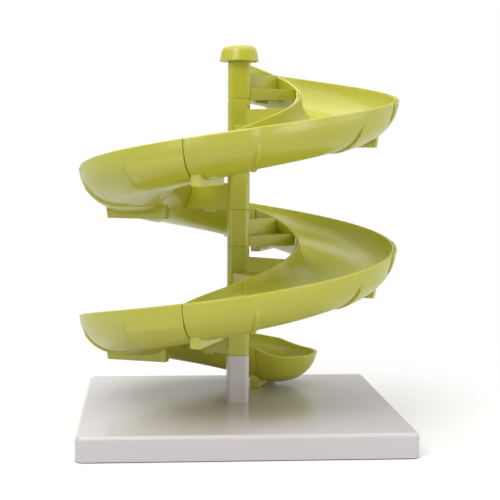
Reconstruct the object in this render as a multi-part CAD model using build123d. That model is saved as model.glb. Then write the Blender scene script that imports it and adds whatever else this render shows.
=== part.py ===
"""Rolling egg dispenser: a two-turn helical egg track on a square post and a white base.

The track is eight equal quarter turns. Each one is a U-shaped trough carried by its own post
section, turned by 90 degrees and raised by a quarter of the pitch from the one below it. The
origin is at the middle of the base's underside, +Z is up and -Y is the front. All lengths are
in millimetres and all angles in degrees.
"""
import os
from math import asin, cos, degrees, radians, sin, tan

from build123d import *

# Track
SECTIONS_PER_TURN = 4
TURNS = 2
PITCH = 99.2
TRACK_OUTER_RADIUS = 106.4
TRACK_INNER_RADIUS = 39.5
INNER_WALL_RISE = 2.0
TRACK_DEPTH = 25.5
TRACK_BEND = 26.0
TRACK_WALL = 2.2
WALL_DRAFT = 8.0
FIRST_SEAM = 67.7

# Joint between two track sections
SLEEVE_SPAN = 24.0
SLEEVE_STOP_SPAN = 2.0
SLEEVE_PROUD = 1.0
SLEEVE_RIM_DROP = 0.2
TONGUE_WALL = 1.3
STOP_BEAD_SPAN = 1.3
STOP_BEAD_PROUD = 1.5
STOP_BEAD_START = 7.0
SEAM_GAP_SPAN = 0.3

# Saddle under each section, from its arm to its upper seam
SADDLE_SPAN = 24.0
SADDLE_PROUD = 1.2
SADDLE_START = 10.0

# Hollow radial block under each seam
PLATE_DROP = 29.0
PLATE_WIDTH = 7.0
PLATE_THICKNESS = 2.0
PLATE_INNER_RADIUS = 50.0
PLATE_OUTER_RADIUS = 95.0

# End cup
CUP_NECK_SPAN = 3.0
CUP_RIM_FALL = 5.0
CUP_RAMP = 24.0

# Post sections and arms
POST_SIDE = 14.5
POST_CORNER = 3.0
POST_EDGE_BREAK = 0.4
SPIGOT_SIDE = 9.4
SPIGOT_LENGTH = 8.0
SPIGOT_TIP_BREAK = 1.0
SOCKET_SPARE_DEPTH = 0.6
ARM_FROM_SEAM = 69.3
ARM_THICKNESS = 5.0
ARM_TOP = 17.5
ARM_DROP = 0.5
LEDGE_TOP = 7.0
LEDGE_SPREAD = 29.5
LEDGE_WALL = 2.0
ARM_CLEAR_SPAN = 10.0
TAB_START = 19.0
TAB_LENGTH = 12.0
TAB_DROP = 1.8
TAB_THICKNESS = 3.0
TAB_TAPER = 2.0

# Top cap
CAP_RADIUS = 13.0
CAP_HEIGHT = 10.5
CAP_FLAT_RADIUS = 7.0
CAP_BRIM = 1.0
CAP_SHOULDER_RADIUS = 11.8
CAP_SHOULDER_HEIGHT = 7.0

# Base and foot post
BASE_SIDE = 210.0
BASE_HEIGHT = 16.0
BASE_CORNER = 6.0
BASE_TOP_ROUND = 3.0
BASE_WALL = 2.6
BASE_RIB = 1.8
BASE_RIB_DEPTH = 8.0
FOOT_POST_SIDE = 15.0
FOOT_POST_RISE = 32.7
BOSS_WALL = 3.0
BOSS_FLOOR = 2.4

# Screw that holds the foot post
SCREW_DIAMETER = 4.0
SCREW_LENGTH = 16.0
SCREW_HEAD_DIAMETER = 8.0
SCREW_HEAD_HEIGHT = 2.4
SCREW_RECESS = 0.8
SCREW_SLOT_WIDTH = 1.2
SCREW_SLOT_DEPTH = 1.0

# Foot pads
FOOT_PAD_DIAMETER = 14.0
FOOT_PAD_HEIGHT = 3.0
FOOT_PAD_PROUD = 0.6
FOOT_PAD_INSET = 22.0
FOOT_PAD_ROUND = 0.5
FOOT_CUP_WALL = 1.6

# Clearances, and the overrun of every cut
FIT = 0.3
CLOSE_FIT = 0.1
OVERRUN = 5.0

# Derived sizes and places
SECTION_COUNT = SECTIONS_PER_TURN * TURNS
RISE_PER_DEGREE = PITCH / 360
STEP_ANGLE = 360 / SECTIONS_PER_TURN
STEP_RISE = PITCH / SECTIONS_PER_TURN
FIRST_RIM = BASE_HEIGHT + FIT + PLATE_DROP
FIRST_POST = BASE_HEIGHT + FOOT_POST_RISE
ARM_ANGLE = FIRST_SEAM + ARM_FROM_SEAM
BEND_HEIGHT = TRACK_BEND - TRACK_DEPTH
BEND_RIM_SLOPE = degrees(asin((BEND_HEIGHT + SLEEVE_RIM_DROP + FIT) / TRACK_BEND))
WALL_SLOPE = max(WALL_DRAFT, BEND_RIM_SLOPE)
DRAFT_RUN = tan(radians(WALL_SLOPE))
DRAFT_COS = cos(radians(WALL_SLOPE))
BEND_TANGENT = BEND_HEIGHT - TRACK_BEND * sin(radians(WALL_SLOPE))
OUTER_BEND = TRACK_OUTER_RADIUS + BEND_TANGENT * DRAFT_RUN - TRACK_BEND * DRAFT_COS
INNER_BEND = (TRACK_INNER_RADIUS + (INNER_WALL_RISE - BEND_TANGENT) * DRAFT_RUN
              + TRACK_BEND * DRAFT_COS)
FLOOR_MIDDLE = (OUTER_BEND + INNER_BEND) / 2
ARM_REACH = FLOOR_MIDDLE
SLEEVE_INSIDE = TONGUE_WALL + FIT - TRACK_WALL
SLEEVE_MIDDLE = (SLEEVE_PROUD + SLEEVE_INSIDE) / 2
TONGUE_OUTSIDE = TONGUE_WALL - TRACK_WALL
TONGUE_SPAN = SLEEVE_SPAN - SLEEVE_STOP_SPAN - SEAM_GAP_SPAN
SOCKET_SIDE = SPIGOT_SIDE + 2 * FIT
SOCKET_DEPTH = SPIGOT_LENGTH + SOCKET_SPARE_DEPTH
BOSS_BOTTOM = SCREW_RECESS + SCREW_HEAD_HEIGHT
FOOT_POST_BOTTOM = BOSS_BOTTOM + BOSS_FLOOR
SHELL_ROOF = BASE_HEIGHT - BASE_WALL
FOOT_PAD_PLACE = BASE_SIDE / 2 - FOOT_PAD_INSET


def wall_edge(side, skin, height):
    """Point on the outer (+1) or inner (-1) wall at a height from the outer rim, offset by skin."""
    slant = skin / DRAFT_COS
    if side > 0:
        return (TRACK_OUTER_RADIUS + slant + height * DRAFT_RUN, height)
    return (TRACK_INNER_RADIUS - slant + (INNER_WALL_RISE - height) * DRAFT_RUN, height)


def outer_half(skin, top=0.0):
    """One skin of the U section from the outer rim down to the middle of the floor."""
    arc = CenterArc((OUTER_BEND, BEND_HEIGHT), TRACK_BEND + skin, -WALL_SLOPE, WALL_SLOPE - 90)
    end = (FLOOR_MIDDLE, (arc @ 1).Y)
    return [Line(wall_edge(1, skin, top), arc @ 0), arc, Line(arc @ 1, end)]


def inner_half(skin, top=INNER_WALL_RISE):
    """One skin of the U section from the middle of the floor up to the inner rim."""
    arc = CenterArc((INNER_BEND, BEND_HEIGHT), TRACK_BEND + skin, -90, WALL_SLOPE - 90)
    start = (FLOOR_MIDDLE, (arc @ 0).Y)
    return [Line(start, arc @ 0), arc, Line(arc @ 1, wall_edge(-1, skin, top))]


def closed_band(outer, inner):
    """Face between two lines of edges, in the radial plane of +X."""
    ends = [Line(outer[0] @ 0, inner[0] @ 0), Line(outer[-1] @ 1, inner[-1] @ 1)]
    return Plane.XZ * make_face(outer + inner + ends)


def whole_band(outside, inside, lift=0.0):
    """Section of a wall that runs from rim to rim, or stops a little above or below the rims."""
    skins = [outer_half(skin, lift) + inner_half(skin, INNER_WALL_RISE + lift) for skin in (outside, inside)]
    return closed_band(*skins)


def bend_band(outside, inside, drop):
    """Section of a skin from a drop below the outer rim, round the bend, to the middle of the floor."""
    angle = degrees(asin((drop + BEND_HEIGHT) / TRACK_BEND))
    centre = (OUTER_BEND, BEND_HEIGHT)
    arcs = [CenterArc(centre, TRACK_BEND + skin, -angle, angle - 90) for skin in (outside, inside)]
    return closed_band(*[[arc, Line(arc @ 1, (FLOOR_MIDDLE, (arc @ 1).Y))] for arc in arcs])


def filled_section(skin):
    """Face of everything inside and above one skin of the U section."""
    outline = outer_half(skin) + inner_half(skin)
    lid = INNER_WALL_RISE + OVERRUN
    start = outline[-1] @ 1
    end = outline[0] @ 0
    closing = Polyline(start, (start.X, lid), (end.X, lid), end)
    return Plane.XZ * make_face(outline + [closing])


def screw_sweep(face, start, span):
    """Sweep a radial face along the track, from an angle measured from the section's seam."""
    path = Helix(PITCH, span * RISE_PER_DEGREE, FLOOR_MIDDLE)
    swept = sweep(face, path=path, is_frenet=True)
    return Pos(0, 0, start * RISE_PER_DEGREE) * Rot(0, 0, start) * swept


def track_with_tongue(start, seam):
    """Plain wall from start to its upper seam, and the thinner tongue that goes on past it."""
    shoulder = seam - SEAM_GAP_SPAN
    wall = screw_sweep(whole_band(0, -TRACK_WALL), start, seam + TONGUE_SPAN - start)
    step = screw_sweep(whole_band(OVERRUN, TONGUE_OUTSIDE, OVERRUN), shoulder, SLEEVE_SPAN)
    return wall - step


def sleeve():
    """Proud lower end of a section, which wraps round the tongue of the section below."""
    return screw_sweep(whole_band(SLEEVE_PROUD, SLEEVE_INSIDE, -SLEEVE_RIM_DROP), 0, SLEEVE_SPAN)


def stop_bead():
    """Low bead down the outside, where the sleeve ends."""
    face = bend_band(STOP_BEAD_PROUD, SLEEVE_MIDDLE, STOP_BEAD_START)
    return screw_sweep(face, SLEEVE_SPAN - STOP_BEAD_SPAN, STOP_BEAD_SPAN)


def saddle():
    """Thicker skin on the outer half of a section, between its arm and its upper seam."""
    face = bend_band(SADDLE_PROUD, -TRACK_WALL / 2, SADDLE_START)
    return screw_sweep(face, STEP_ANGLE - SADDLE_SPAN, SADDLE_SPAN - SEAM_GAP_SPAN)


def radial_block():
    """Box wall under the seam: open and flat at the bottom, and run into the sleeve at the top."""
    length = PLATE_OUTER_RADIUS - PLATE_INNER_RADIUS
    middle = (PLATE_OUTER_RADIUS + PLATE_INNER_RADIUS) / 2
    plan = Pos(middle, PLATE_WIDTH / 2) * Rectangle(length, PLATE_WIDTH)
    hollow = offset(plan, -PLATE_THICKNESS, kind=Kind.INTERSECTION)
    walls = Pos(0, 0, -PLATE_DROP) * extrude(plan - hollow, PLATE_DROP)
    return walls - screw_sweep(filled_section(SLEEVE_MIDDLE), -SLEEVE_SPAN, 2 * SLEEVE_SPAN)


def on_track(shape):
    """Move a shape from its seam's own frame to the lowest seam of the track."""
    return Pos(0, 0, FIRST_RIM) * Rot(0, 0, FIRST_SEAM) * shape


def trough_section():
    """Quarter turn of the track, in the place of the lowest one."""
    plain = track_with_tongue(SLEEVE_SPAN - SLEEVE_STOP_SPAN, STEP_ANGLE)
    return on_track(plain + sleeve() + stop_bead() + saddle() + radial_block())


def cup_bowl():
    """Half bowl that closes the lower end of the track."""
    outer = outer_half(0, INNER_WALL_RISE)
    inner = outer_half(-TRACK_WALL, INNER_WALL_RISE)
    profile = Pos(-FLOOR_MIDDLE, 0, 0) * closed_band(outer, inner)
    bowl = Pos(FLOOR_MIDDLE, 0, 0) * revolve(profile, Axis((0, 0, 0), (0, 0, -1)), 180)
    return Pos(0, 0, -CUP_NECK_SPAN * RISE_PER_DEGREE) * Rot(0, 0, -CUP_NECK_SPAN) * bowl


def rim_cutter(start_height, reach):
    """Prism above the cup's rim, which ramps down from the seam and then lies level."""
    low = -CUP_RIM_FALL
    far = -TRACK_OUTER_RADIUS
    lid = INNER_WALL_RISE + OVERRUN
    ramp = Bezier((0, start_height), (-CUP_RAMP / 2, low), (-CUP_RAMP, low))
    rest = Polyline((-CUP_RAMP, low), (far, low), (far, lid), (0, lid), (0, start_height))
    return Pos(FLOOR_MIDDLE, 0, 0) * extrude(Plane.YZ * make_face([ramp, rest]), reach)


def end_cup():
    """Closed rounded end of the track, whose tongue sits in the lowest sleeve."""
    reach = TRACK_OUTER_RADIUS - FLOOR_MIDDLE + OVERRUN
    body = track_with_tongue(-CUP_NECK_SPAN, 0) + cup_bowl()
    return on_track(body - rim_cutter(0, reach) - rim_cutter(INNER_WALL_RISE, -reach))


def post_prism(side, height):
    """Square post stock with rounded corners and lightly broken end edges."""
    stock = extrude(RectangleRounded(side, side, POST_CORNER), height)
    ends = stock.faces().sort_by(Axis.Z)
    return chamfer(ends[0].edges() + ends[-1].edges(), POST_EDGE_BREAK)


def spigot():
    """Square plug on top of a post section, with a tapered tip."""
    plug = extrude(Rectangle(SPIGOT_SIDE, SPIGOT_SIDE), SPIGOT_LENGTH)
    return chamfer(plug.faces().sort_by(Axis.Z)[-1].edges(), SPIGOT_TIP_BREAK)


def socket():
    """Square hole that takes a spigot from below, as a cutting solid."""
    return extrude(Rectangle(SOCKET_SIDE, SOCKET_SIDE), SOCKET_DEPTH)


def ledge():
    """Wide ledge beside the arm, open underneath, with its front wall."""
    spread = radians(LEDGE_SPREAD)
    corner = Vector(ARM_REACH * cos(spread), -ARM_REACH * sin(spread))
    root = Vector(0, -POST_SIDE / 2)
    plan = make_face(Polyline((0, 0), (ARM_REACH, 0), corner, root, close=True))
    height = LEDGE_TOP + ARM_DROP
    inwards = (corner - root).normalized().rotate(Axis.Z, 90) * LEDGE_WALL
    block = Pos(0, 0, -ARM_DROP) * extrude(plan, height)
    hollow = Pos(inwards.X, inwards.Y, -ARM_DROP) * extrude(plan, height - LEDGE_WALL)
    return block - hollow


def arm():
    """Upright arm along +X with its ledge and the small tab under it."""
    height = ARM_TOP + ARM_DROP
    beam = Pos(ARM_REACH / 2, 0, height / 2 - ARM_DROP) * Box(ARM_REACH, ARM_THICKNESS, height)
    end = TAB_START + TAB_LENGTH
    outline = Polyline((TAB_START, 0), (TAB_START + TAB_TAPER, -TAB_DROP),
                       (end - TAB_TAPER, -TAB_DROP), (end, 0), close=True)
    tab = extrude(Plane.XZ * make_face(outline), TAB_THICKNESS / 2, both=True)
    return beam + ledge() + Pos(0, 0, -ARM_DROP) * tab


def arm_clearance():
    """Space that the trough takes up, grown by the fit, where the arm meets it."""
    start = ARM_FROM_SEAM - LEDGE_SPREAD - ARM_CLEAR_SPAN
    return on_track(screw_sweep(filled_section(FIT), start, LEDGE_SPREAD + 2 * ARM_CLEAR_SPAN))


def post_bracket():
    """Post section with its arm, in the place of the lowest one."""
    post = Pos(0, 0, FIRST_POST) * post_prism(POST_SIDE, STEP_RISE)
    reaching = Pos(0, 0, FIRST_POST) * Rot(0, 0, ARM_ANGLE) * arm() - arm_clearance()
    side = POST_SIDE + 2 * FIT
    below = Pos(0, 0, FIRST_POST - OVERRUN) * extrude(Rectangle(side, side), OVERRUN)
    plug = Pos(0, 0, FIRST_POST + STEP_RISE) * spigot()
    return post + plug + (reaching - below) - Pos(0, 0, FIRST_POST) * socket()


def raised(shape, index):
    """Copy of a lowest piece, turned and lifted to its place up the post."""
    return Pos(0, 0, index * STEP_RISE) * Rot(0, 0, index * STEP_ANGLE) * shape


def top_cap():
    """Mushroom-shaped cap with a flat top and a sharp lower edge."""
    side = Line((CAP_RADIUS, 0), (CAP_RADIUS, CAP_BRIM))
    crown = Spline((CAP_RADIUS, CAP_BRIM), (CAP_SHOULDER_RADIUS, CAP_SHOULDER_HEIGHT),
                   (CAP_FLAT_RADIUS, CAP_HEIGHT), tangents=((-1, 4), (-1, 0)))
    rest = Polyline((CAP_FLAT_RADIUS, CAP_HEIGHT), (0, CAP_HEIGHT), (0, 0), (CAP_RADIUS, 0))
    solid = revolve(Plane.XZ * make_face([side, crown, rest]), Axis.Z)
    return Pos(0, 0, FIRST_POST + SECTION_COUNT * STEP_RISE) * (solid - socket())


def upright(diameter, height):
    """Round stock that stands on the plane z = 0."""
    return extrude(Circle(diameter / 2), height)


def foot_post():
    """White post from the base's boss up to the lowest green section."""
    height = FIRST_POST - FOOT_POST_BOTTOM
    pilot = upright(SCREW_DIAMETER + 2 * CLOSE_FIT, SCREW_LENGTH)
    post = post_prism(FOOT_POST_SIDE, height) + Pos(0, 0, height) * spigot() - pilot
    return Pos(0, 0, FOOT_POST_BOTTOM) * post


def foot_screw():
    """Pan-head screw with a straight slot, driven up from below."""
    head = upright(SCREW_HEAD_DIAMETER, SCREW_HEAD_HEIGHT)
    shank = upright(SCREW_DIAMETER, SCREW_HEAD_HEIGHT + SCREW_LENGTH)
    slot = extrude(Rectangle(SCREW_HEAD_DIAMETER + OVERRUN, SCREW_SLOT_WIDTH), SCREW_SLOT_DEPTH)
    return Pos(0, 0, SCREW_RECESS) * (head + shank - slot)


def corner_places():
    """Four places in from the base's corners."""
    places = (-FOOT_PAD_PLACE, FOOT_PAD_PLACE)
    return [Pos(x, y, 0) for x in places for y in places]


def base_shell():
    """Moulded tray with rounded upper edges, a cross of ribs, a boss and four foot cups."""
    height = BASE_HEIGHT - FOOT_PAD_PROUD
    block = Pos(0, 0, FOOT_PAD_PROUD) * extrude(RectangleRounded(BASE_SIDE, BASE_SIDE, BASE_CORNER), height)
    block = fillet(block.faces().sort_by(Axis.Z)[-1].edges(), BASE_TOP_ROUND)
    inside = BASE_SIDE - 2 * BASE_WALL
    room = extrude(RectangleRounded(inside, inside, BASE_CORNER - BASE_WALL), SHELL_ROOF)
    boss_side = FOOT_POST_SIDE + 2 * (CLOSE_FIT + BOSS_WALL)
    boss = Pos(0, 0, BOSS_BOTTOM) * extrude(Rectangle(boss_side, boss_side), SHELL_ROOF - BOSS_BOTTOM)
    shell = block - room + boss
    rib = Pos(0, 0, SHELL_ROOF - BASE_RIB_DEPTH / 2) * Box(inside, BASE_RIB, BASE_RIB_DEPTH)
    shell = shell + rib + Rot(0, 0, 90) * rib
    pocket_diameter = FOOT_PAD_DIAMETER + 2 * CLOSE_FIT
    cup = upright(pocket_diameter + 2 * FOOT_CUP_WALL, SHELL_ROOF - FOOT_PAD_PROUD)
    for place in corner_places():
        shell = shell + place * Pos(0, 0, FOOT_PAD_PROUD) * cup
        shell = shell - place * upright(pocket_diameter, FOOT_PAD_HEIGHT)
    post_side = FOOT_POST_SIDE + 2 * CLOSE_FIT
    post_hole = extrude(RectangleRounded(post_side, post_side, POST_CORNER), BASE_HEIGHT)
    screw_hole = upright(SCREW_DIAMETER + 2 * FIT, FOOT_POST_BOTTOM + OVERRUN)
    head_room = upright(SCREW_HEAD_DIAMETER + 2 * FIT, BOSS_BOTTOM)
    return shell - Pos(0, 0, FOOT_POST_BOTTOM) * post_hole - screw_hole - head_room


def foot_pad():
    """Round pad with a slightly rounded lower edge."""
    pad = upright(FOOT_PAD_DIAMETER, FOOT_PAD_HEIGHT)
    return fillet(pad.edges().sort_by(Axis.Z)[0], FOOT_PAD_ROUND)


def all_pieces():
    """Every piece of the dispenser by its name."""
    pieces = {"base_shell": base_shell(), "foot_post": foot_post(), "foot_screw": foot_screw()}
    for number, place in enumerate(corner_places(), start=1):
        pieces[f"foot_pad_{number}"] = place * foot_pad()
    section = trough_section()
    bracket = post_bracket()
    for index in range(SECTION_COUNT):
        pieces[f"trough_section_{index + 1}"] = raised(section, index)
        pieces[f"post_bracket_{index + 1}"] = raised(bracket, index)
    pieces["end_cup"] = end_cup()
    pieces["top_cap"] = top_cap()
    return pieces


os.makedirs("parts", exist_ok=True)
for name, piece in all_pieces().items():
    export_step(piece, f"parts/{name}.step")
    print(name, round(piece.volume, 1), piece.bounding_box())
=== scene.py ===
# %% [markdown]
# # Rolling egg dispenser
#
# A lime green plastic track winds twice round a square post, and the post stands on a glossy white
# base. What is put in at the top rolls down to the cup by itself. This file dresses the engineering
# model of the dispenser: it gives every piece its real finish and finer edges, lights it, and sets a
# camera. The engineering model is the frame, and nothing here moves or resizes it.

from math import cos, radians, sin, tan, tau

import bmesh
import bpy
from mathutils import Matrix, Vector


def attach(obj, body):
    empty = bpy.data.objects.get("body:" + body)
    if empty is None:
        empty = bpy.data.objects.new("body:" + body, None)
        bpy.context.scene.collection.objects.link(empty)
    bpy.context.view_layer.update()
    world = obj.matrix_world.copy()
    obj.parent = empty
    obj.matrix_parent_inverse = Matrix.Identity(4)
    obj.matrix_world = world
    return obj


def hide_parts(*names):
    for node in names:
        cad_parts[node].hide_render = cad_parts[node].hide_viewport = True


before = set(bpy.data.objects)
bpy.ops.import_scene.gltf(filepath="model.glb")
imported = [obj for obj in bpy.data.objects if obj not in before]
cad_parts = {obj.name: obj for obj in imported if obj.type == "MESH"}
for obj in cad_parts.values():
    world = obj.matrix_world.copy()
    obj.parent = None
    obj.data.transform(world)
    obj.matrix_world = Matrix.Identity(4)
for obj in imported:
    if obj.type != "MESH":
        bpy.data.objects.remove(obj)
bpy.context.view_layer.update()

# %% [markdown]
# ## Sizes
#
# The track follows the sizes of the engineering model, in metres. Angles along the track are in
# degrees and start at a section's own lower seam, because that is where the eye finds them: a
# sleeve reaches about 26 degrees up from its seam, and a saddle ends at the next seam, at 90. Only
# the sleeve's end and its bead differ: they sit 1.6 degrees further up, as in the photograph.

# %% Sizes of the track
MM = 0.001
SECTION_COUNT = 8
FULL_TURN = 360.0
QUARTER = FULL_TURN / 4
PITCH = 99.2 * MM
QUARTER_CLIMB = PITCH / 4
OUTER_RADIUS = 106.4 * MM
INNER_RADIUS = 39.5 * MM
INNER_RISE = 2 * MM
TRACK_DEPTH = 25.5 * MM
TRACK_BEND = 26 * MM
WALL_DRAFT = radians(8)
WALL_SLOPE = tan(WALL_DRAFT)
TRACK_WALL = 2.2 * MM
FIRST_SEAM = 67.7
FIRST_RIM = 45.3 * MM
SLEEVE_END = 25.6
SLEEVE_STOP = 22.0
BEAD_SPAN = 1.9
BEAD_START = SLEEVE_END - BEAD_SPAN
SEAM_GAP = 0.3
SADDLE_FROM = 66.0
SHOULDER = QUARTER - SEAM_GAP
TONGUE_END = SHOULDER + SLEEVE_STOP
print("a section turns", TONGUE_END, "degrees with its tongue")
print("a section climbs", round(QUARTER_CLIMB / MM, 1), "mm from seam to seam")

# %% [markdown]
# ## Node arithmetic
#
# Materials and Geometry Nodes are both node trees. Wrapping a socket in a small class lets the
# sums be written as ordinary Python, and one method adds any other node.

# %% Values and graphs


class Value:
    """An output socket that can be used in sums, which add Math nodes to its tree."""

    def __init__(self, graph, socket):
        self.graph = graph
        self.socket = socket

    def output(self, name):
        """Another output of the same node."""
        return Value(self.graph, pick(self.socket.node.outputs, name))

    def __add__(self, other):
        return self.graph.math("ADD", self, other)

    def __radd__(self, other):
        return self.graph.math("ADD", other, self)

    def __sub__(self, other):
        return self.graph.math("SUBTRACT", self, other)

    def __rsub__(self, other):
        return self.graph.math("SUBTRACT", other, self)

    def __mul__(self, other):
        return self.graph.math("MULTIPLY", self, other)

    def __rmul__(self, other):
        return self.graph.math("MULTIPLY", other, self)

    def __truediv__(self, other):
        return self.graph.math("DIVIDE", self, other)

    def __rtruediv__(self, other):
        return self.graph.math("DIVIDE", other, self)

    def __neg__(self):
        return self.graph.math("MULTIPLY", self, -1.0)

    def __gt__(self, other):
        return self.graph.math("GREATER_THAN", self, other)


def pick(sockets, key):
    """A socket by its index, or the first enabled one with that name."""
    if isinstance(key, int):
        return sockets[key]
    return next(socket for socket in sockets if socket.name == key and socket.enabled)


class Graph:
    """A node tree that is written as expressions."""

    def __init__(self, tree):
        self.tree = tree

    def node(self, kind, settings=None, sockets=None):
        """Add a node: its settings first, then the values or links of its sockets."""
        made = self.tree.nodes.new(kind)
        for name, value in (settings or {}).items():
            setattr(made, name, value)
        for key, value in (sockets or {}).items():
            target = pick(made.inputs, key)
            if isinstance(value, Value):
                self.tree.links.new(value.socket, target)
            else:
                target.default_value = value
        enabled = [socket for socket in made.outputs if socket.enabled]
        return Value(self, enabled[0]) if enabled else None

    def math(self, operation, *values):
        """A Math node on one, two or three values."""
        return self.node("ShaderNodeMath", {"operation": operation}, dict(enumerate(values)))

    def vector(self, x=0.0, y=0.0, z=0.0):
        """A vector from its three parts."""
        return self.node("ShaderNodeCombineXYZ", {}, {"X": x, "Y": y, "Z": z})

    def parts(self, vector):
        """The X, Y and Z of a vector."""
        split = self.node("ShaderNodeSeparateXYZ", {}, {"Vector": vector})
        return split, split.output("Y"), split.output("Z")

    def smooth(self, value, low, high):
        """0 below low, 1 above high, and a smooth step between them."""
        return self.node("ShaderNodeMapRange", {"interpolation_type": "SMOOTHSTEP"},
                         {"Value": value, "From Min": low, "From Max": high})

    def link(self, value, node, socket):
        """Link a value to a socket of a node that the tree already has."""
        self.tree.links.new(value.socket, node.inputs[socket])


print("a graph can add:", [name for name in vars(Graph) if not name.startswith("_")])

# %% [markdown]
# ## Plastic, rubber and steel
#
# Injection-moulded plastic looks even, but never perfectly so: the melt leaves slow drifts of
# colour and gloss, and the steel of the mould leaves a very fine grain. Both come from noise on
# object coordinates, which stay put on a piece whichever way it is turned. The green also lets some
# light in under its surface, which keeps its shaded side warm. Rubber and steel use the same recipe.

# %% Plastics
DRIFT_NOISE = {"Detail": 3.0, "Roughness": 0.55}
GRAIN_NOISE = {"Detail": 2.0, "Roughness": 0.5}
NOISE_MIDDLE = 0.5
GRAIN_HEIGHT = 0.1 * MM
PLASTIC_IOR = 1.5
GREEN_IOR = 1.62
GLOW_SHARE = 0.3
GLOW_SPREAD = (1.0, 1.0, 0.2)
GLOW_DEPTH = 2.5 * MM


def new_material(name, build):
    """A material whose nodes are built by a function, which is given the Principled shader."""
    material = bpy.data.materials.new(name)
    material.use_nodes = True
    tree = material.node_tree
    build(Graph(tree), tree.nodes["Principled BSDF"])
    return material


def noise(graph, place, scale, texture):
    """Noise over a place, with a texture's detail and roughness."""
    return graph.node("ShaderNodeTexNoise", {}, {"Vector": place, "Scale": scale, **texture})


def moulded(colour, shade, roughness, drift_scale, grain_scale, grain_depth, gloss_drift=0.08, fixed=None):
    """Moulded plastic: slow drifts of colour and gloss from the flow of the melt, and a fine grain."""

    def build(graph, shader):
        place = graph.node("ShaderNodeTexCoord").output("Object")
        drift = noise(graph, place, drift_scale, DRIFT_NOISE)
        grain = noise(graph, place, grain_scale, GRAIN_NOISE)
        mix = graph.node("ShaderNodeMix", {"data_type": "RGBA"},
                         {"Factor": drift, "A": (*colour, 1), "B": (*shade, 1)})
        gloss = roughness + (drift - NOISE_MIDDLE) * gloss_drift
        bump = graph.node("ShaderNodeBump", {},
                          {"Strength": grain_depth, "Distance": GRAIN_HEIGHT, "Height": grain})
        graph.link(mix, shader, "Base Color")
        graph.link(gloss, shader, "Roughness")
        graph.link(bump, shader, "Normal")
        for socket, value in {"IOR": PLASTIC_IOR, **(fixed or {})}.items():
            shader.inputs[socket].default_value = value

    return build


green = new_material("lime_green_plastic", moulded(
    colour=(0.515, 0.508, 0.042), shade=(0.495, 0.492, 0.037), roughness=0.30,
    drift_scale=22.0, grain_scale=500.0, grain_depth=0.10,
    fixed={"IOR": GREEN_IOR, "Subsurface Weight": GLOW_SHARE,
           "Subsurface Radius": GLOW_SPREAD, "Subsurface Scale": GLOW_DEPTH}))
white = new_material("glossy_white_plastic", moulded(
    colour=(0.640, 0.602, 0.612), shade=(0.620, 0.588, 0.598), roughness=0.20,
    drift_scale=14.0, grain_scale=500.0, grain_depth=0.01, gloss_drift=0.02))
rubber = new_material("soft_grey_rubber", moulded(
    colour=(0.13, 0.13, 0.13), shade=(0.11, 0.11, 0.11), roughness=0.75,
    drift_scale=60.0, grain_scale=900.0, grain_depth=0.30))
steel = new_material("bright_plated_steel", moulded(
    colour=(0.62, 0.62, 0.60), shade=(0.56, 0.56, 0.55), roughness=0.35,
    drift_scale=90.0, grain_scale=900.0, grain_depth=0.10, fixed={"Metallic": 1.0}))
print("materials:", [material.name for material in (green, white, rubber, steel)])

# %% [markdown]
# ## The track: stations along one quarter turn
#
# Every section of the track is the same U-shaped wall, swept along a helix. Its skins step in and
# out on the way: a proud sleeve at the lower end, a bead where the sleeve stops, a saddle before
# the next seam, and a thin tongue that slips into the sleeve above. A step needs close stations
# and a plain stretch needs few, so the rail is a line of points that stand where they are needed.
# Strides and spans are in degrees.

# %% Rail of stations
PLAIN_STRIDE = 1.5
STEP_STRIDE = 0.08
EDGE_SPAN = 0.24
STEP_SPAN = 0.16
SADDLE_RAMP = 0.32
CREASE_SPAN = 0.72
SLEEVE_FADE = 4.0
BEAD_RISE = 0.64


def evenly(start, stop, stride):
    """Angles from start to stop, both included, about one stride apart."""
    count = max(1, round((stop - start) / stride))
    return [start + (stop - start) * i / count for i in range(count + 1)]


def stations():
    """Angles from the lower seam to the tip of the tongue, close together at each step."""
    steps = [(0, EDGE_SPAN),
             (SLEEVE_STOP - STEP_SPAN, SLEEVE_STOP),
             (BEAD_START, BEAD_START + BEAD_RISE),
             (SLEEVE_END - STEP_SPAN, SLEEVE_END),
             (SADDLE_FROM - CREASE_SPAN, SADDLE_FROM + SADDLE_RAMP),
             (SHOULDER - STEP_SPAN, SHOULDER),
             (TONGUE_END - EDGE_SPAN, TONGUE_END)]
    angles = evenly(*steps[0], STEP_STRIDE)
    for (_, before), (start, stop) in zip(steps, steps[1:]):
        angles += evenly(before, start, PLAIN_STRIDE)[1:-1]
        angles += evenly(start, stop, STEP_STRIDE)
    return angles


def rail_mesh(name, angles):
    """A chain of points along X, where X is the angle in degrees."""
    mesh = bpy.data.meshes.new(name)
    points = [(angle, 0, 0) for angle in angles]
    links = [(i, i + 1) for i in range(len(points) - 1)]
    mesh.from_pydata(points, links, [])
    return mesh


section_rail = rail_mesh("section_rail", stations())
print("stations on a section:", len(section_rail.vertices))

# %% [markdown]
# ## The track: one tree for all sections
#
# Curve to Mesh gives the skin its faces, with a closed ring at each station and caps at the ends.
# Then each point is put in place by a rule: its number on the ring says how far along the U it
# lies and on which skin, its station says which steps apply, and the helix does the rest. So the
# ring's own radius has no effect. The U itself is drawn with curve nodes, four corners with two of
# them filleted, and sampled.

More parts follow.
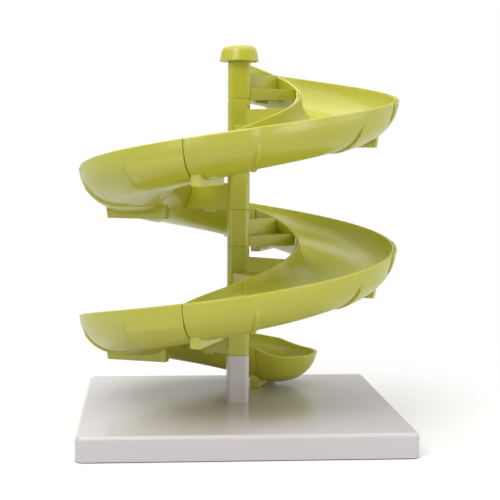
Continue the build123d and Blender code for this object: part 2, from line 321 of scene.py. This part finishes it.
# %% Track tree
RING_POINTS = 144
RING_RADIUS = 100 * MM
RING_CROWD = 0.9
RIM_ROUND = 0.5 * MM
BEND_POINTS = 32
SLEEVE_PROUD = 1.0 * MM
SLEEVE_INSIDE = -0.6 * MM
SLEEVE_RIM_DROP = 0.2 * MM
TONGUE_OUTSIDE = -0.9 * MM
BEAD_PROUD = 1.5 * MM
SADDLE_PROUD = 1.2 * MM
SADDLE_FADE = (9 * MM, 15 * MM)
MIDDLE_FADE = 1 * MM
CREASE_DEPTH = 0.9 * MM
EDGE_BREAK = 0.3 * MM
TRACK_INPUTS = {"Outer Radius": OUTER_RADIUS, "Inner Radius": INNER_RADIUS, "Inner Rise": INNER_RISE,
                "Depth": TRACK_DEPTH, "Bend": TRACK_BEND, "Wall": TRACK_WALL, "Pitch": PITCH,
                "Turn": 0.0, "Lift": 0.0}


def new_tree(name, floats):
    """A Geometry Nodes tree with a geometry input, float inputs and a material input."""
    tree = bpy.data.node_groups.new(name, "GeometryNodeTree")
    tree.interface.new_socket(name="Geometry", in_out="INPUT", socket_type="NodeSocketGeometry")
    for title in floats:
        tree.interface.new_socket(name=title, in_out="INPUT", socket_type="NodeSocketFloat")
    tree.interface.new_socket(name="Material", in_out="INPUT", socket_type="NodeSocketMaterial")
    tree.interface.new_socket(name="Geometry", in_out="OUTPUT", socket_type="NodeSocketGeometry")
    return tree


def u_section(graph, given):
    """The U from the outer rim to the inner rim: a curve in the plane of radius (X) and height (Z)."""
    depth = given("Depth")
    outer, inner, rise = given("Outer Radius"), given("Inner Radius"), given("Inner Rise")
    corners = {"Point 1": graph.vector(x=outer),
               "Point 2": graph.vector(x=outer - depth * WALL_SLOPE, z=-depth),
               "Point 3": graph.vector(x=inner + (depth + rise) * WALL_SLOPE, z=-depth),
               "Point 4": graph.vector(x=inner, z=rise)}
    loop = graph.node("GeometryNodeCurvePrimitiveQuadrilateral", {"mode": "POINTS"}, corners)
    chain = graph.node("GeometryNodeSetSplineCyclic", {}, {"Geometry": loop, "Cyclic": False})
    return graph.node("GeometryNodeFilletCurve", {"mode": "POLY"},
                      {"Curve": chain, "Count": BEND_POINTS, "Radius": given("Bend")})


def wrap(graph, given, radius, height, turn):
    """Place on the helix's axis: a radius, a height and an angle in radians, turned and lifted."""
    angle = turn + given("Turn")
    return graph.vector(radius * graph.math("COSINE", angle), radius * graph.math("SINE", angle),
                        height + given("Lift"))


def stored(graph, geometry, name, value, kind="FLOAT"):
    """The geometry with a value stored on its points."""
    return graph.node("GeometryNodeStoreNamedAttribute", {"data_type": kind, "domain": "POINT"},
                      {"Geometry": geometry, "Name": name, "Value": value})


def recalled(graph, name, kind="FLOAT"):
    """The value that was stored on the points."""
    return graph.node("GeometryNodeInputNamedAttribute", {"data_type": kind}, {"Name": name})


def ring_place(graph, length, number, drop):
    """How far along the U a ring's point lies, its distance from the nearer rim, and its skin."""
    half = RING_POINTS // 2
    inside = number > half - 0.5
    share = (number - inside * half) / (half - 1)
    crowded = share - graph.math("SINE", share * tau) * (RING_CROWD / tau)
    along = (crowded + inside * (1 - 2 * crowded)) * (length - 2 * drop) + drop
    from_rim = graph.math("MINIMUM", along - drop, length - drop - along)
    return along, from_rim, inside


def outer_skin(graph, angle, along, middle):
    """Offset of the outer skin from the plain wall, by angle from the seam and distance from the rim."""
    sleeve = 1 - graph.smooth(angle, SLEEVE_END - SLEEVE_FADE, SLEEVE_END)
    bead = (graph.smooth(angle, BEAD_START, BEAD_START + BEAD_RISE)
            * (1 - graph.smooth(angle, SLEEVE_END - STEP_SPAN, SLEEVE_END)))
    tongue = graph.smooth(angle, SHOULDER - STEP_SPAN, SHOULDER)
    saddle_ramp = graph.smooth(angle, SADDLE_FROM, SADDLE_FROM + SADDLE_RAMP)
    saddle = saddle_ramp * (1 - tongue)
    crease = (graph.smooth(angle, SADDLE_FROM - CREASE_SPAN, SADDLE_FROM - CREASE_SPAN / 2)
              * (1 - saddle_ramp))
    low = graph.smooth(along, *SADDLE_FADE) * (1 - graph.smooth(along, middle - MIDDLE_FADE, middle))
    seam_end = 1 - graph.smooth(angle, 0.0, EDGE_SPAN)
    tongue_end = graph.smooth(angle, TONGUE_END - EDGE_SPAN, TONGUE_END)
    proud = graph.math("MAXIMUM", sleeve * SLEEVE_PROUD, bead * low * BEAD_PROUD)
    return (proud + (saddle * SADDLE_PROUD - crease * CREASE_DEPTH) * low
            + tongue * TONGUE_OUTSIDE - (seam_end + tongue_end) * EDGE_BREAK)


def inner_skin(graph, angle, wall):
    """Offset of the inner skin: thin inside the sleeve, where the tongue from below sits."""
    full = graph.smooth(angle, SLEEVE_STOP - STEP_SPAN, SLEEVE_STOP)
    start = 1 - graph.smooth(angle, 0.0, EDGE_SPAN)
    return SLEEVE_INSIDE - full * (wall + SLEEVE_INSIDE) + start * (EDGE_BREAK / 2)


def swept_wall(graph, given, rail):
    """The wall of a section, from its sleeve to its tongue, with rounded rims."""
    x, _, _ = graph.parts(graph.node("GeometryNodeInputPosition"))
    path = stored(graph, graph.node("GeometryNodeMeshToCurve", {}, {"Mesh": rail}), "station", x)
    circle = graph.node("GeometryNodeCurvePrimitiveCircle", {},
                        {"Resolution": RING_POINTS, "Radius": RING_RADIUS})
    ring = stored(graph, circle, "ring", graph.node("GeometryNodeInputIndex"))
    skin = graph.node("GeometryNodeCurveToMesh", {},
                      {"Curve": path, "Profile Curve": ring, "Fill Caps": True})
    angle = recalled(graph, "station")
    section = u_section(graph, given)
    length = graph.node("GeometryNodeCurveLength", {}, {"Curve": section})
    drop = (1 - graph.smooth(angle, SLEEVE_STOP - STEP_SPAN, SLEEVE_STOP)) * SLEEVE_RIM_DROP
    along, from_rim, inside = ring_place(graph, length, recalled(graph, "ring"), drop)
    sample = graph.node("GeometryNodeSampleCurve", {"mode": "LENGTH"},
                        {"Curves": section, "Length": along})
    radius, _, height = graph.parts(sample.output("Position"))
    across, _, down = graph.parts(sample.output("Tangent"))
    outside = outer_skin(graph, angle, along, (length - given("Inner Rise")) / 2)
    lining = inner_skin(graph, angle, given("Wall"))
    corner = 1 - graph.math("MINIMUM", from_rim / RIM_ROUND, 1.0)
    round_off = (1 - graph.math("SQRT", 1 - corner * corner)) * RIM_ROUND
    half = (outside - lining) / 2 - round_off
    offset = (outside + lining) / 2 + half * (1 - inside * 2)
    turn = angle * radians(1)
    climb = angle * given("Pitch") / FULL_TURN
    place = wrap(graph, given, radius - down * offset, height + across * offset + climb, turn)
    return graph.node("GeometryNodeSetPosition", {}, {"Geometry": skin, "Position": place})


print("track tree:", len(TRACK_INPUTS), "sizes")

# %% [markdown]
# ## The track: the box under each seam
#
# Under each seam hangs a narrow box, open below, whose walls run up into the sleeve. Its plan is a
# rounded rectangle, which makes a rail, and its wall is a small profile. The points near the top
# take the height of the track's underside at their own radius, so the box meets the curve.

# %% Seam box
BOX_DROP = 29 * MM
BOX_WIDTH = 7 * MM
BOX_WALL = 2 * MM
BOX_INNER_RADIUS = 50 * MM
BOX_OUTER_RADIUS = 95 * MM
BOX_LENGTH = BOX_OUTER_RADIUS - BOX_INNER_RADIUS
BOX_MIDDLE_RADIUS = (BOX_OUTER_RADIUS + BOX_INNER_RADIUS) / 2
BOX_CORNER = 0.8 * MM
BOX_CORNER_POINTS = 6
BOX_LIP_ROUND = 0.4 * MM
BOX_LIP_POINTS = 4
BOX_TOP_SPAN = 8 * MM
BOX_STRIDE = 0.9 * MM
BOX_TAPER = 1.2 * MM
BOX_SEAT = 0.2 * MM
MERGE_DISTANCE = 0.01 * MM


def underside(graph, given, radius):
    """Height of the track's underside at a radius, with its two bends."""
    bend = given("Bend")
    rise = bend - given("Depth")
    tangent = rise - bend * sin(WALL_DRAFT)
    outer_bend = given("Outer Radius") + tangent * WALL_SLOPE - bend * cos(WALL_DRAFT)
    inner_bend = (given("Inner Radius") + (given("Inner Rise") - tangent) * WALL_SLOPE
                  + bend * cos(WALL_DRAFT))
    beyond = (graph.math("MAXIMUM", radius - outer_bend, 0.0)
              + graph.math("MAXIMUM", inner_bend - radius, 0.0))
    reach = bend + BOX_SEAT
    return rise - graph.math("SQRT", reach * reach - beyond * beyond)


def rounded_rectangle(graph, width, height, points, radius):
    """A closed rectangle with rounded corners."""
    rectangle = graph.node("GeometryNodeCurvePrimitiveQuadrilateral", {"mode": "RECTANGLE"},
                           {"Width": width, "Height": height})
    return graph.node("GeometryNodeFilletCurve", {"mode": "POLY"},
                      {"Curve": rectangle, "Count": points, "Radius": radius})


def drawn_in(graph, value, room, inward):
    """A coordinate of the box's plan, drawn in towards its hollow by a share of the wall."""
    clamped = graph.math("MINIMUM", graph.math("MAXIMUM", value, -room), room)
    return value + (clamped - value) * inward


def seam_box(graph, given):
    """The narrow box under the seam, on the uphill side of it."""
    plan = rounded_rectangle(graph, BOX_LENGTH, BOX_WIDTH, BOX_CORNER_POINTS, BOX_CORNER)
    rail = graph.node("GeometryNodeResampleCurve", {"mode": "LENGTH"},
                      {"Curve": plan, "Length": BOX_STRIDE})
    rail = stored(graph, rail, "plan", graph.node("GeometryNodeInputPosition"), "FLOAT_VECTOR")
    lip = rounded_rectangle(graph, BOX_WALL, BOX_TOP_SPAN, BOX_LIP_POINTS, BOX_LIP_ROUND)
    lip = stored(graph, lip, "lip", graph.node("GeometryNodeInputPosition"), "FLOAT_VECTOR")
    skin = graph.node("GeometryNodeCurveToMesh", {}, {"Curve": rail, "Profile Curve": lip})
    plan_x, plan_y, _ = graph.parts(recalled(graph, "plan", "FLOAT_VECTOR"))
    across, up, _ = graph.parts(recalled(graph, "lip", "FLOAT_VECTOR"))
    inward = across / BOX_WALL + 0.5
    top = up > 0.0
    taper = graph.smooth(plan_x, 0.0, BOX_LENGTH / 2) * (1 - top) * BOX_TAPER
    x = drawn_in(graph, plan_x, BOX_LENGTH / 2 - BOX_WALL, inward) + BOX_MIDDLE_RADIUS - taper
    y = drawn_in(graph, plan_y, BOX_WIDTH / 2 - BOX_WALL, inward) + BOX_WIDTH / 2
    radius = graph.math("SQRT", x * x + y * y)
    turn = graph.math("ARCTAN2", y, x)
    low = up + (BOX_TOP_SPAN / 2 - BOX_DROP)
    high = underside(graph, given, radius) + turn * given("Pitch") / tau + up - BOX_TOP_SPAN / 2
    place = wrap(graph, given, radius, low + (high - low) * top, turn)
    moved = graph.node("GeometryNodeSetPosition", {}, {"Geometry": skin, "Position": place})
    return graph.node("GeometryNodeMergeByDistance", {}, {"Geometry": moved, "Distance": MERGE_DISTANCE})


def track_tree():
    """The whole tree of a track section: its wall, the box under its seam, and its plastic."""
    tree = new_tree("track_section", TRACK_INPUTS)
    graph = Graph(tree)
    given = graph.node("NodeGroupInput").output
    wall = swept_wall(graph, given, given("Geometry"))
    joined = graph.node("GeometryNodeJoinGeometry", {}, {"Geometry": wall})
    graph.link(seam_box(graph, given), joined.socket.node, "Geometry")
    whole = graph.node("GeometryNodeRealizeInstances", {}, {"Geometry": joined})
    smooth = graph.node("GeometryNodeSetShadeSmooth", {}, {"Geometry": whole})
    finished = graph.node("GeometryNodeSetMaterial", {},
                          {"Geometry": smooth, "Material": given("Material")})
    graph.node("NodeGroupOutput", {}, {"Geometry": finished})
    return tree


track = track_tree()
print("track tree nodes:", len(track.nodes))

# %% [markdown]
# ## The track: eight sections
#
# The same tree is evaluated once for each section, turned by a quarter and lifted by a quarter of
# the pitch. The result becomes a plain mesh, so that nothing depends on the modifier afterwards.

# %% Make the sections
SHARP_EDGE = radians(38)
WORKING_VALUES = ("station", "ring", "plan", "lip")


def outward(mesh):
    """Turn a closed mesh's faces outwards, judged by its signed volume."""
    shape = bmesh.new()
    shape.from_mesh(mesh)
    if shape.calc_volume(signed=True) < 0:
        bmesh.ops.reverse_faces(shape, faces=shape.faces)
        shape.to_mesh(mesh)
    shape.free()


def grown(name, rail, tree, floats, material):
    """A plain object from a tree: the modifier is evaluated once and leaves only its mesh."""
    seed = bpy.data.objects.new(name + "_seed", rail)
    bpy.context.scene.collection.objects.link(seed)
    modifier = seed.modifiers.new("tree", "NODES")
    modifier.node_group = tree
    wanted = dict(floats, Material=material)
    for socket in tree.interface.items_tree:
        if socket.in_out == "INPUT" and socket.name in wanted:
            modifier[socket.identifier] = wanted[socket.name]
    graph = bpy.context.evaluated_depsgraph_get()
    mesh = bpy.data.meshes.new_from_object(seed.evaluated_get(graph))
    bpy.data.objects.remove(seed)
    mesh.name = name
    outward(mesh)
    mesh.set_sharp_from_angle(angle=SHARP_EDGE)
    for value in WORKING_VALUES:
        if value in mesh.attributes:
            mesh.attributes.remove(mesh.attributes[value])
    piece = bpy.data.objects.new(name, mesh)
    bpy.context.scene.collection.objects.link(piece)
    return piece


sections = []
for index in range(SECTION_COUNT):
    placed = dict(TRACK_INPUTS,
                  Turn=radians(FIRST_SEAM + index * QUARTER),
                  Lift=FIRST_RIM + index * QUARTER_CLIMB)
    piece = grown(f"track_quarter_{index + 1}", section_rail, track, placed, green)
    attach(piece, "tower")
    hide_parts(f"trough_section_{index + 1}")
    sections.append(piece)
print("sections:", len(sections), "of", len(sections[0].data.polygons), "faces each")

# %% [markdown]
# ## Brackets, cup, cap and post
#
# These pieces have the engineering model's shape, but a mould never makes a knife-sharp edge. A
# copy of each mesh is merged, its flat faces are joined up, and a Bevel modifier rounds the edges,
# so that they catch the light as thin bright lines.

# %% Softened copies
BEVEL_ANGLE = radians(35)
BEVEL_SEGMENTS = 3
FLAT_ANGLE = radians(0.5)
WELD_DISTANCE = 0.001 * MM
GREEN_EDGE = 0.4 * MM
CAP_EDGE = 0.5 * MM
POST_EDGE = 0.3 * MM


def softened(node_name, piece_name, body, material, width):
    """A copy of an engineering mesh with its edges rounded."""
    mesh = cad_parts[node_name].data.copy()
    mesh.name = piece_name
    shape = bmesh.new()
    shape.from_mesh(mesh)
    bmesh.ops.remove_doubles(shape, verts=shape.verts, dist=WELD_DISTANCE)
    bmesh.ops.dissolve_limit(shape, angle_limit=FLAT_ANGLE, verts=shape.verts, edges=shape.edges)
    shape.to_mesh(mesh)
    shape.free()
    mesh.shade_smooth()
    mesh.set_sharp_from_angle(angle=BEVEL_ANGLE)
    mesh.materials.clear()
    mesh.materials.append(material)
    piece = bpy.data.objects.new(piece_name, mesh)
    bpy.context.scene.collection.objects.link(piece)
    bevel = piece.modifiers.new("edges", "BEVEL")
    bevel.width = width
    bevel.segments = BEVEL_SEGMENTS
    bevel.limit_method = "ANGLE"
    bevel.angle_limit = BEVEL_ANGLE
    bevel.harden_normals = True
    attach(piece, body)
    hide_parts(node_name)
    return piece


copies = []
for index in range(SECTION_COUNT):
    copies.append(softened(f"post_bracket_{index + 1}", f"hub_bracket_{index + 1}",
                           "tower", green, GREEN_EDGE))
copies.append(softened("end_cup", "stopping_cup", "cup", green, GREEN_EDGE))
copies.append(softened("top_cap", "mushroom_cap", "cap", green, CAP_EDGE))
copies.append(softened("foot_post", "white_post", "stand", white, POST_EDGE))
print("softened copies:", [copy.name for copy in copies])

# %% [markdown]
# ## Base, pads and screw
#
# The base, its four pads and the screw already have the right shape, with rounded corners and
# edges, so they stay as they are and only get their finish. Every other engineering piece gets a
# finish too, so that nothing is left plain if its dressed piece is taken away.

# %% Carried-over pieces
WHITE_NODES = ("base_shell", "foot_post")
for name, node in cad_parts.items():
    finish = green
    if name in WHITE_NODES:
        finish = white
    elif name.startswith("foot_pad"):
        finish = rubber
    elif name == "foot_screw":
        finish = steel
    node.data.materials.clear()
    node.data.materials.append(finish)
print("engineering pieces with a finish:", len(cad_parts))

# %% [markdown]
# ## Ground
#
# Product pictures stand on a white sweep. Near the object the ground is matt and lit, so it comes
# out white but still takes the object's shadow, and it throws back less light than it shows, which
# keeps the undersides from going flat. Further away it turns plain white for the camera and for
# reflections. Mix Shader nodes choose between these by the kind of ray and by the distance.

# %% White ground
GROUND_REACH = 2.0
SHADOW_REACH = (0.17, 0.34)
GROUND_SEEN = (0.92, 0.92, 0.92, 1)
GROUND_BOUNCE = (0.50, 0.50, 0.50, 1)
PLAIN_WHITE = 1.0


def white_ground(graph, shader):
    """Matt white that keeps the shadow near the object, and plain white further away."""
    graph.tree.nodes.remove(shader)
    place = graph.node("ShaderNodeTexCoord").output("Object")
    away = graph.node("ShaderNodeVectorMath", {"operation": "LENGTH"}, {0: place}).output("Value")
    rays = graph.node("ShaderNodeLightPath")
    seen = graph.math("MAXIMUM", rays.output("Is Camera Ray"), rays.output("Is Glossy Ray"))
    seen = graph.math("MAXIMUM", seen, rays.output("Is Transmission Ray"))
    bounce = graph.node("ShaderNodeBsdfDiffuse", {}, {"Color": GROUND_BOUNCE})
    lit = graph.node("ShaderNodeBsdfDiffuse", {}, {"Color": GROUND_SEEN})
    near = graph.node("ShaderNodeMixShader", {}, {0: seen, 1: bounce, 2: lit})
    far = graph.node("ShaderNodeEmission", {}, {"Strength": PLAIN_WHITE})
    beyond = graph.smooth(away, *SHADOW_REACH) * seen
    mixed = graph.node("ShaderNodeMixShader", {}, {0: beyond, 1: near, 2: far})
    graph.link(mixed, graph.tree.nodes["Material Output"], "Surface")


ground_mesh = bpy.data.meshes.new("ground")
ground_corners = [(-GROUND_REACH, -GROUND_REACH, 0), (GROUND_REACH, -GROUND_REACH, 0),
                  (GROUND_REACH, GROUND_REACH, 0), (-GROUND_REACH, GROUND_REACH, 0)]
ground_mesh.from_pydata(ground_corners, [], [(0, 1, 2, 3)])
ground_mesh.materials.append(new_material("white_ground", white_ground))
ground = bpy.data.objects.new("ground", ground_mesh)
bpy.context.scene.collection.objects.link(ground)
print("ground reaches", GROUND_REACH, "m each way")

# %% [markdown]
# ## Surroundings
#
# The light in the photograph is soft and comes from all round and above, with less from behind the
# camera. A world shader can say that in one expression of the direction: it is weaker and a little
# rosy towards the front. Gloss sees the same room, with its darker parts to the left and right of
# the sweep, because that is what gives a smooth curved wall its sheen in one place and not another.
# The ranges are shares of a direction of length 1, to the right or to the back.

# %% World
FRONT_LIGHT = 0.11
SIDE_LIGHT = 0.56
FRONT_RANGE = (-0.95, -0.1)
FRONT_TINT = (1.0, 0.90, 0.94, 1)
NO_TINT = (1, 1, 1, 1)
GLOSS_FRONT = 0.18
GLOSS_BACK = 0.86
GLOSS_RANGE = (-0.75, 0.25)
GLOSS_LEFT_DIMMING = 0.40
LEFT_RANGE = (0.25, 0.60)
GLOSS_RIGHT_DIMMING = 0.42
RIGHT_RANGE = (-0.05, 0.25)
GLOSS_FAR_RIGHT = 0.55
FAR_RIGHT_RANGE = (0.38, 0.65)

world = bpy.data.worlds.new("studio")
bpy.context.scene.world = world
world.use_nodes = True
sky = Graph(world.node_tree)
rays = sky.node("ShaderNodeLightPath")
straight = sky.math("MAXIMUM", rays.output("Is Camera Ray"), rays.output("Is Transmission Ray"))
to_right, to_back, _ = sky.parts(sky.node("ShaderNodeTexCoord").output("Generated"))
off_front = sky.smooth(to_back, *FRONT_RANGE)
fill = FRONT_LIGHT + off_front * (SIDE_LIGHT - FRONT_LIGHT)
gloss_sides = (sky.smooth(to_right, *FAR_RIGHT_RANGE) * GLOSS_FAR_RIGHT
               - sky.smooth(to_right, *RIGHT_RANGE) * GLOSS_RIGHT_DIMMING
               - sky.smooth(-to_right, *LEFT_RANGE) * GLOSS_LEFT_DIMMING)
gloss = GLOSS_FRONT + sky.smooth(to_back, *GLOSS_RANGE) * (GLOSS_BACK - GLOSS_FRONT + gloss_sides)
around = fill + rays.output("Is Glossy Ray") * (gloss - fill)
tint = sky.node("ShaderNodeMix", {"data_type": "RGBA"},
                {"Factor": sky.math("MAXIMUM", off_front, straight), "A": FRONT_TINT, "B": NO_TINT})
background = world.node_tree.nodes["Background"]
sky.link(straight + (1 - straight) * around, background, "Strength")
sky.link(tint, background, "Color")
print("light from the sides", SIDE_LIGHT, "and from the front", FRONT_LIGHT)

# %% [markdown]
# ## Lamps
#
# A large soft box overhead lights the base through the track. A key to the left of the camera
# brightens the left of every form, and one at the right gives the ends of the track their pale
# sheen. Two weak boxes near the floor reach the undersides and the cup. Each lamp has a place, a
# target and a width in metres, and a power in watts.

# %% Soft boxes
LAMPS = {"key_soft_box": ((-0.40, -0.75, 0.85), (0, 0, 0.08), 0.6, 5.2),
         "overhead_soft_box": ((-0.1, 0.05, 0.95), (0, 0, 0.1), 1.5, 9.5),
         "right_soft_box": ((0.95, -0.25, 0.10), (0, 0, 0.06), 0.5, 1.7),
         "low_right_fill": ((0.34, -0.48, 0.06), (0.02, 0, 0.03), 0.25, 0.75),
         "low_left_fill": ((-0.38, -0.50, 0.05), (-0.02, 0, 0.04), 0.25, 0.45)}


def soft_box(name, place, target, size, power):
    """A square area lamp that looks at a target and that the camera itself doesn't see."""
    data = bpy.data.lights.new(name, "AREA")
    data.shape = "SQUARE"
    data.size = size
    data.energy = power
    lamp = bpy.data.objects.new(name, data)
    lamp.location = place
    lamp.visible_camera = False
    lamp.rotation_euler = (Vector(target) - Vector(place)).to_track_quat("-Z", "Y").to_euler()
    bpy.context.scene.collection.objects.link(lamp)


for name, setting in LAMPS.items():
    soft_box(name, *setting)
print("lamps:", list(LAMPS))

# %% [markdown]
# ## Camera
#
# The place and the lens were fitted to the corners of the base and the ends of the track's rims in
# the photograph. The camera stands a little left of the middle, lower than the cap, and looks
# slightly down, which is why the inside of the track shows at the right and not at the left. Its
# place is in metres and its three angles are in radians.

# %% Camera
CAMERA_PLACE = Vector((-0.06207, -0.83908, 0.18323))
CAMERA_YAW = 0.08349
CAMERA_PITCH = 0.07482
CAMERA_ROLL = 0.00665
FOCAL_PIXELS = 1240.1
FRAME_PIXELS = 500
SENSOR = 36.0

level = cos(CAMERA_PITCH)
forward = Vector((sin(CAMERA_YAW) * level, cos(CAMERA_YAW) * level, -sin(CAMERA_PITCH)))
level_right = Vector((cos(CAMERA_YAW), -sin(CAMERA_YAW), 0))
level_up = level_right.cross(forward)
right = level_right * cos(CAMERA_ROLL) + level_up * sin(CAMERA_ROLL)
up = level_up * cos(CAMERA_ROLL) - level_right * sin(CAMERA_ROLL)
camera_data = bpy.data.cameras.new("camera")
camera_data.sensor_width = SENSOR
camera_data.lens = FOCAL_PIXELS * SENSOR / FRAME_PIXELS
camera = bpy.data.objects.new("camera", camera_data)
facing = Matrix((right, up, -forward)).transposed().to_4x4()
camera.matrix_world = Matrix.Translation(CAMERA_PLACE) @ facing
bpy.context.scene.collection.objects.link(camera)
bpy.context.scene.camera = camera
bpy.context.scene.view_settings.view_transform = "Standard"
print("lens:", round(camera_data.lens, 1), "mm")

# %% [markdown]
# ## Size
#
# The dressed object has to fill the same box as the engineering model.
